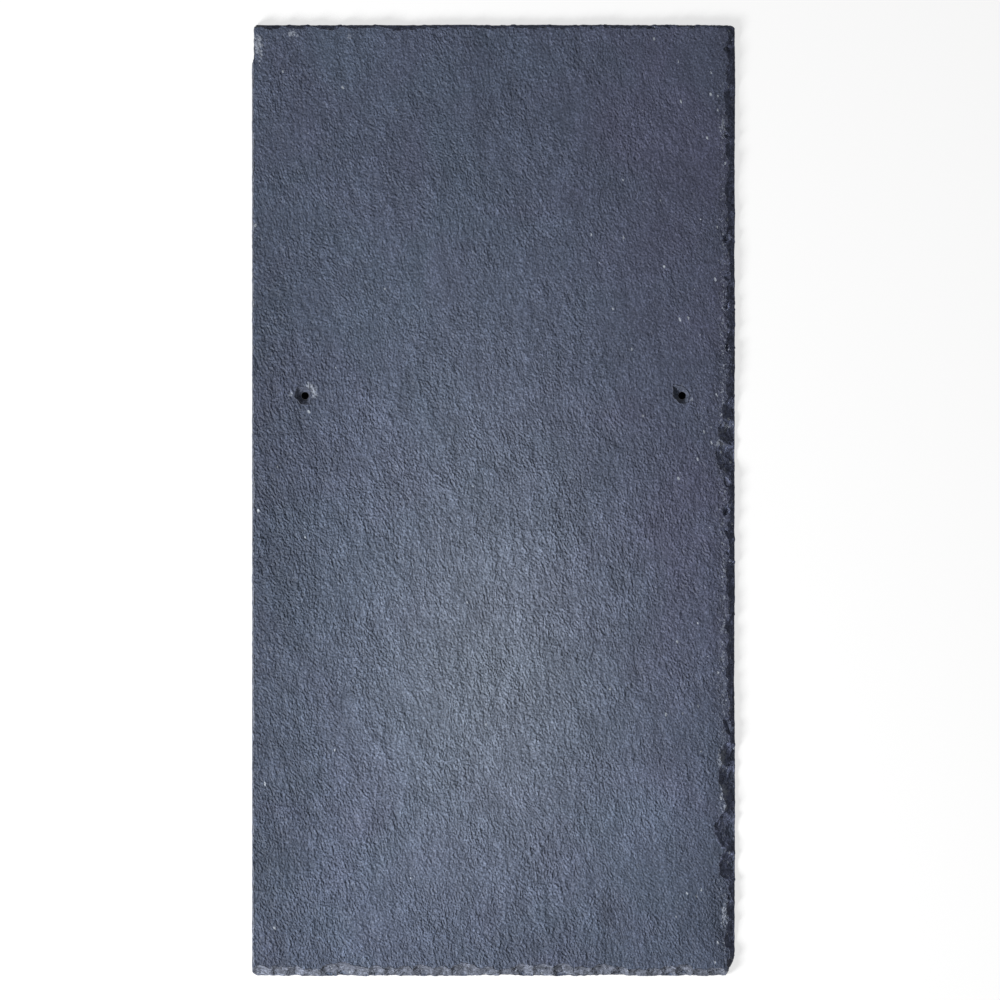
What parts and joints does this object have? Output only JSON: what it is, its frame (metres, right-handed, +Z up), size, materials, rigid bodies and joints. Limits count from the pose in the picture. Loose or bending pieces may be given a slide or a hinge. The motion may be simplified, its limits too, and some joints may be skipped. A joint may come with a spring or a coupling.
{
  "type": "slate roof tile",
  "caption": "Rectangular leaf of split slate with riven faces, a flaked dressed edge that faces up, and nail holes that break out in small craters, for nailing to roof battens.",
  "frame": {"origin": "on the floor that the bed lies on, under the middle of the slate's length and width", "axes": "+X across the width to the right, seen from above with the head up; +Y from the tail, the end that shows on a roof, to the head; +Z up, out of the riven face and the flaked bevel"},
  "size_m": [0.254, 0.5, 0.0067],
  "materials": {
    "riven_stone": "riven blue-grey slate, fine leathery grain, dull satin"
  },
  "bodies": {
    "root": {"slate": "riven_stone"}
  },
  "joints": []
}
